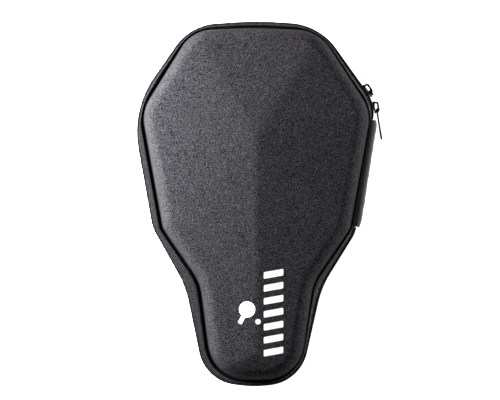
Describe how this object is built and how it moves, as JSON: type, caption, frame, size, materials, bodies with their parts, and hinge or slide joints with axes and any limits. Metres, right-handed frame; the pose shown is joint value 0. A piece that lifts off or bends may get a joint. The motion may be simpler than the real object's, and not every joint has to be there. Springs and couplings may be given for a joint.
{
  "type": "table tennis bat case",
  "caption": "Bat-shaped moulded clamshell case with a faceted lid, zip closure with pull tabs, fabric hinge, bat strap and ball net.",
  "frame": {"origin": "on the flat back, on the mouldings' centre line, halfway along the case's length", "axes": "+X to the right of the lid, +Y from the handle to the head, +Z out of the lid"},
  "size_m": [0.2029, 0.3002, 0.0579],
  "materials": {
    "laminate": "fine woven fabric bonded to moulded foam, slight sheen",
    "lining": "brushed knit",
    "tape": "woven zip tape",
    "coil": "satin monofilament",
    "binding": "ribbed tape",
    "thread": "twisted thread",
    "pale_thread": "twisted thread",
    "hinge_cloth": "soft woven cloth",
    "slider_paint": "semi-gloss black enamel",
    "elastic": "ribbed elastic",
    "net": "open knit net",
    "print": "screen-printed ink"
  },
  "bodies": {
    "rear_tray": {"rear_shell": "laminate", "rear_lining": "lining", "rear_zip_tape": "tape", "rear_zip_coil": "coil", "rear_seam_binding": "binding", "rear_seam_thread": "thread", "hinge_panel": "hinge_cloth", "rear_bar_tacks": "pale_thread", "bat_strap": "elastic", "strap_patches": "binding"},
    "lid": {"front_shell": "laminate", "front_lining": "lining", "front_zip_tape": "tape", "front_zip_coil": "coil", "front_seam_binding": "binding", "front_seam_thread": "thread", "front_bar_tacks": "pale_thread", "ball_net": "net", "net_elastic": "elastic", "printed_mark": "print"},
    "upper_slider": {"upper_slider_body": "slider_paint", "upper_slider_bail": "slider_paint"},
    "upper_pull": {"upper_pull_tab": "slider_paint"},
    "lower_slider": {"lower_slider_body": "slider_paint", "lower_slider_bail": "slider_paint"},
    "lower_pull": {"lower_pull_tab": "slider_paint"}
  },
  "joints": [
    {"name": "lid_hinge", "type": "hinge", "parent": "rear_tray", "child": "lid", "pos_m": [0.09342, 0.02439, 0.026], "axis": [0.1535, 0.9881, 0], "range_deg": [0, 175], "deforming": ["hinge_panel"]},
    {"name": "upper_slider_run", "type": "slide", "parent": "rear_tray", "child": "upper_slider", "axis": [-0.5759, 0.8175, 0], "range_m": [0, 0.033]},
    {"name": "upper_pull_swing", "type": "hinge", "parent": "upper_slider", "child": "upper_pull", "pos_m": [0.09514, 0.09216, 0.026], "axis": [0.8175, 0.5759, 0], "range_deg": [-60, 45]},
    {"name": "lower_slider_run", "type": "slide", "parent": "rear_tray", "child": "lower_slider", "axis": [-0.1594, 0.9872, 0], "range_m": [0, 0.0015]},
    {"name": "lower_pull_swing", "type": "hinge", "parent": "lower_slider", "child": "lower_pull", "pos_m": [0.09999, 0.07657, 0.026], "axis": [0.9872, 0.1594, 0], "range_deg": [-45, 90]}
  ]
}
